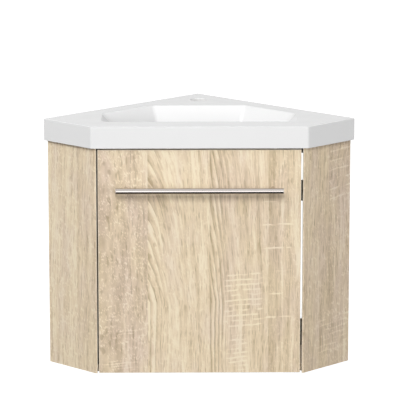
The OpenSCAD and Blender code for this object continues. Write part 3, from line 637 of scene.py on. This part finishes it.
def screw_heads(piece):
    """Where each screw's head lies and faces: the largest round face of each loose part."""
    mesh = bmesh.new()
    mesh.from_mesh(piece.data)
    left = set(mesh.faces)
    heads = []
    while left:
        part = [left.pop()]
        for face in part:
            joined = {f for edge in face.edges for f in edge.link_faces} & left
            left -= joined
            part.extend(joined)
        head = max((f for f in part if len(f.verts) > 8), key=lambda f: f.calc_area())
        heads.append((head.calc_center_median(), head.normal.copy()))
    mesh.free()
    return heads


def recess_heads(piece, width):
    """Sinks a cross recess into each screw's head: two crossed blades that taper to their tip."""
    thickness, height, taper = 0.2 * width, 0.6 * width, 0.45
    blades = []
    for turn in (0, math.pi / 2):
        blade = primitive("cube", "blade", size=1, rotation=(0, 0, turn),
                          scale=(width, thickness, height))
        edit(blade)
        pick(blade, "FACE", lambda f: f.normal.z < -0.99)
        bpy.ops.transform.resize(value=(taper, taper, 1))
        done()
        blades.append(blade)
    driver, other = blades
    join_with(driver, other, "UNION")
    for place, outward in screw_heads(piece):
        tip = bpy.data.objects.new("tip", driver.data.copy())
        bpy.context.scene.collection.objects.link(tip)
        aim = outward.to_track_quat("Z", "Y").to_matrix().to_4x4()
        tip.data.transform(Matrix.Translation(place) @ aim)
        join_with(piece, tip, "DIFFERENCE")
    bpy.data.objects.remove(driver)


def softened(node, radius, finish=None, segments=2, recess=0.0):
    """Finishes a copy of a CAD node whose edges are lightly rounded. With recess, its screws' heads
    get a cross recess of that width."""
    piece = copy_of(node)
    change(piece, "BEVEL", width=radius, segments=segments, limit_method="ANGLE",
           angle_limit=EDGE_TURN, use_clamp_overlap=True)
    if recess:
        recess_heads(piece, recess)
    shade(piece)
    finish_piece(piece, node, finish)


class VANITY_OT_basin(bpy.types.Operator):
    """Model the cast basin: pentagonal plate, bowl, tap hole and waste hole"""
    bl_idname = "vanity.basin"
    bl_label = "Basin"

    def execute(self, context):
        size = context.scene.vanity_basin
        low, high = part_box("basin")
        front, top = low.y, high.z
        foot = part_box("side_panel_left")[1].z  # the skirt stands on the side panels
        half = size.wall_side * DIAGONAL
        wall_line = half + size.short_side * DIAGONAL
        side_line = half - size.short_side * DIAGONAL

        # Plate: a block cut along the walls and the short sides
        plate = primitive("cube", "basin_piece", size=1, scale=(2 * half, wall_line, top - foot),
                          location=(0, front + wall_line / 2, (foot + top) / 2))
        edit(plate)
        for side in (-1, 1):
            cut_away((0, front + wall_line, 0), (side * DIAGONAL, DIAGONAL, 0))
            cut_away((side * side_line, front, 0), (side * DIAGONAL, -DIAGONAL, 0))
        pick(plate, "FACE", lambda f: f.normal.z < -0.99)
        bpy.ops.mesh.inset(thickness=size.skirt)
        bpy.ops.mesh.extrude_region_move(
            TRANSFORM_OT_translate={"value": (0, 0, top - foot - size.deck)})
        pick(plate, "EDGE", lambda e: sorted(v.co.z > top - SAME for v in e.verts) == [False, True])
        bpy.ops.mesh.bevel(offset=size.upright_round, segments=5, affect="EDGES")
        pick(plate, "EDGE", lambda e: all(v.co.z > top - SAME for v in e.verts))
        bpy.ops.mesh.bevel(offset=size.edge_round, segments=4, affect="EDGES")

        # The skirt's outer faces are taller than its inner ones, so their middles lie higher
        outer_middle = foot + 0.02
        pick(plate, "EDGE", lambda e: all(v.co.z < foot + SAME for v in e.verts)
             and any(abs(f.normal.z) < 0.1 and f.calc_center_median().z > outer_middle
                     for f in e.link_faces))
        bpy.ops.mesh.bevel(offset=size.foot_round, segments=2, affect="EDGES")
        done()

        def block(name, grow, ceiling):
            """The bowl's inside up to a ceiling, or with grow its outside. It is cut from a block
            wider and deeper than the bowl."""
            wide, deep = 0.6, 0.4
            floor = top - size.bowl_depth - grow
            back = size.bowl_front + size.bowl_length
            diagonal = wall_line - size.bowl_margin / DIAGONAL
            body = primitive("cube", name, size=1, scale=(wide, deep, ceiling - floor),
                             location=(0, front + deep / 2, (ceiling + floor) / 2))
            edit(body)
            side = math.tan(size.bowl_draft)
            end = side * size.bowl_end_ease
            walls = [((0, size.bowl_front), (0, -1), side), ((0, back), (0, 1), side),
                     ((-size.bowl_width / 2, 0), (-1, 0), end), ((size.bowl_width / 2, 0), (1, 0), end),
                     ((0, diagonal), (-DIAGONAL, DIAGONAL), side),
                     ((0, diagonal), (DIAGONAL, DIAGONAL), side)]
            for (x, y), (nx, ny), slope in walls:
                cut_away((x + grow * nx, front + y + grow * ny, top), (nx, ny, -slope))
            widest = (size.floor_round + grow) * math.tan((math.pi / 2 - size.bowl_draft) / 2)
            # Upright corners, by how far their middles lie behind the basin's front
            corners = [(0.0, 0.13, size.front_corner + grow),
                       (0.13, 0.22, (size.side_corner + grow) * EASY_CORNER),
                       (0.22, 0.4, (size.rear_corner + grow) * EASY_CORNER)]
            for near, far, reach in corners:
                pick(body, "EDGE", lambda e: abs(e.verts[0].co.z - e.verts[1].co.z) > 0.01
                     and near < (e.verts[0].co.y + e.verts[1].co.y) / 2 - front < far)
                bpy.ops.transform.edge_bevelweight(value=reach / widest)
            pick(body, "EDGE", lambda e: all(v.co.z < floor + SAME for v in e.verts))
            bpy.ops.transform.edge_bevelweight(value=1.0)
            done()
            change(body, "BEVEL", width=widest, segments=8, limit_method="WEIGHT",
                   use_clamp_overlap=True)
            return body

        # The bowl's outside ends within the deck, and its inside is cut through from above
        join_with(plate, block("bowl_outside", size.bowl_wall, top - size.deck / 2), "UNION")
        join_with(plate, block("bowl_inside", 0.0, top + 0.02), "DIFFERENCE")
        tap_y = front + wall_line - size.tap_inset
        waste_y = front + size.bowl_front + size.bowl_length / 2
        waste_z = top - size.bowl_depth
        through = 0.06  # half of it is more than the deck or the bowl's wall is thick
        for y, z, width in ((tap_y, top, size.tap_hole), (waste_y, waste_z, size.waste_hole)):
            hole = primitive("cylinder", "hole", vertices=96, radius=width / 2, depth=through,
                             location=(0, y, z))
            join_with(plate, hole, "DIFFERENCE")
        edit(plate)

        def rim(edge):
            """Whether an edge lies between the deck and the bowl or the tap hole."""
            faces = edge.link_faces
            if len(faces) != 2 or not all(abs(v.co.z - top) < SAME for v in edge.verts):
                return False
            flat = [f for f in faces if f.normal.z > 0.999]
            steep = [f for f in faces if f.normal.z < 0.6]
            return len(flat) == 1 and len(steep) == 1

        pick(plate, "EDGE", rim)
        bpy.ops.mesh.bevel(offset=size.rim_round, segments=4, affect="EDGES")

        def waste_rim(edge):
            """Whether an edge lies between the waste hole and the bowl's floor."""
            reach = size.waste_hole / 2 + 1e-4
            near = all(math.hypot(v.co.x, v.co.y - waste_y) < reach for v in edge.verts)
            level = sorted(abs(f.normal.z) > 0.9 for f in edge.link_faces)
            return near and level == [False, True]

        pick(plate, "EDGE", waste_rim)
        bpy.ops.mesh.bevel(offset=size.waste_round, segments=3, affect="EDGES")
        done()
        shade(plate)
        finish_piece(plate, "basin")
        return {"FINISHED"}


class VANITY_OT_boards(bpy.types.Operator):
    """Finish the side panels, floor panel, rails and stop strip"""
    bl_idname = "vanity.boards"
    bl_label = "Boards"

    def execute(self, context):
        edge = context.scene.vanity_finish.board_edge
        softened("side_panel_left", edge, "oak_left")
        softened("side_panel_right", edge, "oak_right")
        for node in ("floor_panel", "top_rail_left", "top_rail_right", "bottom_rail_left",
                     "bottom_rail_right", "stop_strip"):
            softened(node, edge)
        softened("panel_edge_bands", edge * BAND_EDGE)
        return {"FINISHED"}


class VANITY_OT_door(bpy.types.Operator):
    """Finish the door, its edge bands and its bumpers"""
    bl_idname = "vanity.door"
    bl_label = "Door"

    def execute(self, context):
        look = context.scene.vanity_finish
        # The panel's own edges lie under the bands, so they stay nearly sharp
        softened("door_panel", look.board_edge / 4)
        softened("door_edge_bands", look.board_edge * BAND_EDGE)
        softened("door_bumpers", look.bumper_edge, segments=4)
        return {"FINISHED"}


class VANITY_OT_handle(bpy.types.Operator):
    """Model the round handle bar and finish its posts"""
    bl_idname = "vanity.handle"
    bl_label = "Handle"

    def execute(self, context):
        look = context.scene.vanity_finish
        low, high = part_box("handle_bar")
        bar = primitive("cylinder", "handle_bar_piece", vertices=64, radius=(high.z - low.z) / 2,
                        depth=high.x - low.x, location=(low + high) / 2, rotation=(0, math.pi / 2, 0))
        edit(bar)
        pick(bar, "EDGE", lambda e: abs(e.verts[0].co.x - e.verts[1].co.x) < SAME)
        bpy.ops.mesh.bevel(offset=look.bar_end, segments=4, affect="EDGES")
        done()
        shade(bar)
        finish_piece(bar, "handle_bar")
        softened("handle_posts", look.metal_edge)
        return {"FINISHED"}


class VANITY_OT_hinges(bpy.types.Operator):
    """Finish the concealed hinges"""
    bl_idname = "vanity.hinges"
    bl_label = "Hinges"

    def execute(self, context):
        edge = context.scene.vanity_finish.metal_edge
        for place in ("upper", "lower"):
            for part in ("hinge_plate", "hinge_arm", "hinge_cup", "arm_link", "cup_link"):
                softened(f"{part}_{place}", edge)
        for node in ("arm_pins", "cup_pins", "link_pins"):
            softened(node, edge / 2)
        return {"FINISHED"}


class VANITY_OT_fixings(bpy.types.Operator):
    """Finish the brackets, cam locks, dowels and screws"""
    bl_idname = "vanity.fixings"
    bl_label = "Fixings"

    def execute(self, context):
        look = context.scene.vanity_finish
        for node in ("corner_brackets", "dowels", "cam_locks", "cam_bolts"):
            softened(node, look.metal_edge)
        for node in ("bracket_screws", "stop_strip_screws", "hinge_plate_screws", "hinge_arm_screws",
                     "hinge_cup_screws", "handle_screws"):
            softened(node, look.metal_edge, recess=look.cross_recess)
        return {"FINISHED"}


# ---- Stage ----

FLOOR_HEIGHT = -0.298    # well below the unit, which hangs on its walls
FLOOR_TONE = 0.12        # how much light the floor throws back on to the object
FLOOR_TONE_SEEN = 0.5    # the floor's tone where it is seen, with its shadow
FLOOR_GLOW_SEEN = 0.858  # brings the seen floor up to white
ROOM_LIGHT = 0.292       # light of the white surroundings on the object
LAMP_DISTANCE = 9.0      # far off, so that the light falls evenly from top to bottom
LAMP_AIM = Vector((0, 0, 0.4))


def soft_box(name, around, above, width, height, power, mirrored=True):
    """A studio light, placed by its degrees to the right of the front and above the level. With
    mirrored off it lights the object but shows in no reflection."""
    data = bpy.data.lights.new(name, "AREA")
    data.shape = "RECTANGLE"
    data.size = width
    data.size_y = height
    data.energy = power
    lamp = bpy.data.objects.new(name, data)
    around, above = math.radians(around), math.radians(above)
    towards = Vector((math.sin(around) * math.cos(above), -math.cos(around) * math.cos(above),
                      math.sin(above)))
    lamp.location = LAMP_AIM + LAMP_DISTANCE * towards
    lamp.rotation_euler = (-towards).to_track_quat("-Z", "Y").to_euler()
    lamp.visible_glossy = mirrored
    bpy.context.scene.collection.objects.link(lamp)


def seen_directly(material):
    """1 for what the camera, a reflection or a see-through surface shows, and 0 for the light that
    falls on the object."""
    path = add(material, "ShaderNodeLightPath").outputs
    gloss = add(material, "ShaderNodeMath", {0: path["Is Camera Ray"], 1: path["Is Glossy Ray"]},
                operation="MAXIMUM").outputs[0]
    return add(material, "ShaderNodeMath", {0: gloss, 1: path["Is Transmission Ray"]},
               operation="MAXIMUM").outputs[0]


class VANITY_OT_stage(bpy.types.Operator):
    """Set the floor, the white surroundings, the lamps and the camera"""
    bl_idname = "vanity.stage"
    bl_label = "Stage"

    def execute(self, context):
        scene = context.scene
        scene.view_settings.view_transform = "Standard"

        floor = primitive("plane", "floor", size=60, location=(0, 0, FLOOR_HEIGHT))
        paper = blank("white_floor")
        direct = seen_directly(paper)
        shade_seen = add(paper, "ShaderNodeMapRange", {0: direct, 3: FLOOR_TONE, 4: FLOOR_TONE_SEEN})
        lit = add(paper, "ShaderNodeBsdfDiffuse", {"Color": shade_seen.outputs[0]})
        glow_seen = add(paper, "ShaderNodeMath", {0: direct, 1: FLOOR_GLOW_SEEN}, operation="MULTIPLY")
        glow = add(paper, "ShaderNodeEmission", {"Color": (1, 1, 1, 1), "Strength": glow_seen.outputs[0]})
        both = add(paper, "ShaderNodeAddShader", {0: lit.outputs[0], 1: glow.outputs[0]})
        add(paper, "ShaderNodeOutputMaterial", {"Surface": both.outputs[0]})
        floor.data.materials.append(paper)

        # A dark card on the floor in front, seen only in reflections, darkens the bar's lower side
        card_side, card_lift = 1.8, 0.02
        card = primitive("plane", "dark_card", size=card_side,
                         location=(0, -card_side / 2, FLOOR_HEIGHT + card_lift))
        black = blank("black_card")
        ink = add(black, "ShaderNodeBsdfDiffuse", {"Color": (0.02, 0.02, 0.02, 1)})
        add(black, "ShaderNodeOutputMaterial", {"Surface": ink.outputs[0]})
        card.data.materials.append(black)
        card.visible_camera = card.visible_diffuse = card.visible_shadow = False
        card.visible_transmission = False

        world = bpy.data.worlds.new("white_surroundings")
        world.use_nodes = True
        world.node_tree.nodes.clear()
        strength = add(world, "ShaderNodeMapRange", {0: seen_directly(world), 3: ROOM_LIGHT, 4: 1.0})
        sky = add(world, "ShaderNodeBackground", {"Color": (1, 1, 1, 1), "Strength": strength.outputs[0]})
        add(world, "ShaderNodeOutputWorld", {"Surface": sky.outputs[0]})
        scene.world = world

        # The strip light is the white line in the handle's bar, and the front light would draw a
        # second one. The rear light is for views from behind.
        soft_box("front_strip_light", 0, 9, 2.2, 3.2, 38)
        soft_box("front_light", -6, 30, 3.0, 3.0, 400, mirrored=False)
        soft_box("left_light", -60, 40, 5.5, 5.5, 240)
        soft_box("low_right_light", 40, 5, 5.5, 1.2, 150)
        soft_box("low_rear_light", 180, 3, 5.5, 2.0, 90, mirrored=False)

        # The camera is fitted to the unit's corners in the photograph
        down, right = 11.49, 0.605
        data = bpy.data.cameras.new("camera")
        data.sensor_width = 36
        data.lens = 242.3
        data.clip_end = 100
        camera = bpy.data.objects.new("camera", data)
        camera.location = (-0.060, -5.9396, 1.5555)
        camera.rotation_euler = (math.radians(90 - down), 0, math.radians(-right))
        scene.collection.objects.link(camera)
        scene.camera = camera
        return {"FINISHED"}


# ---- Panel ----

STEPS = ("vanity.basin", "vanity.boards", "vanity.door", "vanity.handle", "vanity.hinges",
         "vanity.fixings", "vanity.stage")


class VANITY_PT_unit(bpy.types.Panel):
    """Shows a button for each step and the unit's sizes and colours"""
    bl_idname = "VANITY_PT_unit"
    bl_label = "Corner vanity unit"
    bl_space_type = "VIEW_3D"
    bl_region_type = "UI"
    bl_category = "Vanity"

    def draw(self, context):
        for step in STEPS:
            self.layout.operator(step)
        for group in (context.scene.vanity_basin, context.scene.vanity_finish):
            box = self.layout.box()
            for name in group.__annotations__:
                box.prop(group, name)


CLASSES = (VanityBasinSizes, VanityFinish, VANITY_OT_basin, VANITY_OT_boards, VANITY_OT_door,
           VANITY_OT_handle, VANITY_OT_hinges, VANITY_OT_fixings, VANITY_OT_stage, VANITY_PT_unit)


def register():
    for item in CLASSES:
        bpy.utils.register_class(item)
    bpy.types.Scene.vanity_basin = bpy.props.PointerProperty(type=VanityBasinSizes)
    bpy.types.Scene.vanity_finish = bpy.props.PointerProperty(type=VanityFinish)


def unregister():
    del bpy.types.Scene.vanity_finish
    del bpy.types.Scene.vanity_basin
    for item in reversed(CLASSES):
        bpy.utils.unregister_class(item)


def main():
    register()
    make_materials()
    for step in STEPS:
        group, name = step.split(".")
        getattr(getattr(bpy.ops, group), name)()


if __name__ == "__main__":
    main()
